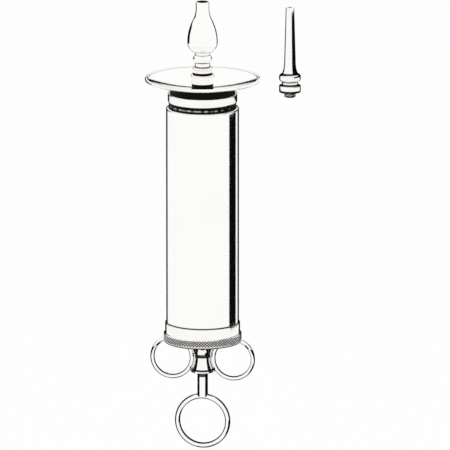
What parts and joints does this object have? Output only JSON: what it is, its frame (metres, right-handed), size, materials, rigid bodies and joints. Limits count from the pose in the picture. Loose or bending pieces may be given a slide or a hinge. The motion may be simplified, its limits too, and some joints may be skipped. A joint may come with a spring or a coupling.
{
  "type": "ear syringe",
  "caption": "Plated brass ear syringe: ringed plunger in a barrel, screwed end cap with finger rings, dished splash shield, olive nozzle and a loose straight nozzle.",
  "frame": {"origin": "on the barrel's axis, halfway along the part of the barrel that shows", "axes": "+Z along the barrel towards the nozzle, +X towards the spare nozzle in the plane of the rings, +Y along the rings' holes, away from the viewer"},
  "size_m": [0.0816, 0.06, 0.2389],
  "materials": {
    "plated_barrel": "polished nickel plate on drawn and turned brass",
    "plated_bright": "polished nickel plate on spun sheet, turned tips and bent wire",
    "plated_knurl": "nickel plate over a rolled diamond knurl",
    "black_rubber": "moulded black rubber",
    "black_fibre": "punched black washer",
    "piston_leather": "greased and moulded cup leather",
    "bare_brass": "turned brass, not plated"
  },
  "bodies": {
    "barrel": {"barrel_tube": "plated_barrel", "head_cap": "plated_barrel", "head_joint_ring": "black_rubber"},
    "shield_seat": {"shield_cushion": "black_rubber"},
    "shield": {"splash_shield": "plated_bright", "nozzle_socket": "plated_barrel", "socket_washer": "black_fibre"},
    "nozzle_seat": {"nozzle_washer": "black_fibre"},
    "nozzle": {"nozzle_stem": "plated_barrel", "olive_tip": "plated_bright"},
    "cap_seat": {"cap_gasket": "black_rubber"},
    "cap": {"end_cap": "plated_barrel", "knurled_band": "plated_knurl", "rod_packing": "piston_leather", "gland_nut": "plated_barrel", "finger_ring_left": "plated_bright", "finger_ring_right": "plated_bright"},
    "piston": {"piston_front_plate": "bare_brass", "piston_leather_front": "piston_leather", "piston_spreader": "bare_brass", "piston_leather_rear": "piston_leather", "piston_rear_plate": "bare_brass"},
    "rod": {"plunger_rod": "plated_barrel", "piston_nut": "bare_brass", "thumb_ring": "plated_bright"},
    "spare": {"spare_nozzle": "plated_barrel", "spare_nozzle_washer": "black_fibre"}
  },
  "joints": [
    {"name": "plunger_slide", "type": "slide", "parent": "barrel", "child": "piston", "axis": [0, 0, -1], "range_m": [0, 0.1]},
    {"name": "plunger_turn", "type": "hinge", "parent": "piston", "child": "rod", "pos_m": [0, 0, 0], "axis": [0, 0, 1], "continuous": true},
    {"name": "cap_lower", "type": "slide", "parent": "barrel", "child": "cap_seat", "axis": [0, 0, -1], "range_m": [0, 0.0076]},
    {"name": "cap_turn", "type": "hinge", "parent": "cap_seat", "child": "cap", "pos_m": [0, 0, 0], "axis": [0, 0, -1], "range_deg": [0, 2160]},
    {"name": "shield_lift", "type": "slide", "parent": "barrel", "child": "shield_seat", "axis": [0, 0, 1], "range_m": [0, 0.0076]},
    {"name": "shield_turn", "type": "hinge", "parent": "shield_seat", "child": "shield", "pos_m": [0, 0, 0], "axis": [0, 0, 1], "range_deg": [0, 2160]},
    {"name": "nozzle_lift", "type": "slide", "parent": "shield", "child": "nozzle_seat", "axis": [0, 0, 1], "range_m": [0, 0.0031]},
    {"name": "nozzle_turn", "type": "hinge", "parent": "nozzle_seat", "child": "nozzle", "pos_m": [0, 0, 0], "axis": [0, 0, 1], "range_deg": [0, 1440]},
    {"name": "spare_nozzle_lift", "type": "slide", "parent": "barrel", "child": "spare", "axis": [0, 0, 1], "range_m": [0, 0.05]}
  ],
  "couplings": [
    {"joint": "cap_lower", "follows": "cap_turn", "m_per_rad": 0.00019894},
    {"joint": "shield_lift", "follows": "shield_turn", "m_per_rad": 0.00019894},
    {"joint": "nozzle_lift", "follows": "nozzle_turn", "m_per_rad": 0.00011937}
  ]
}
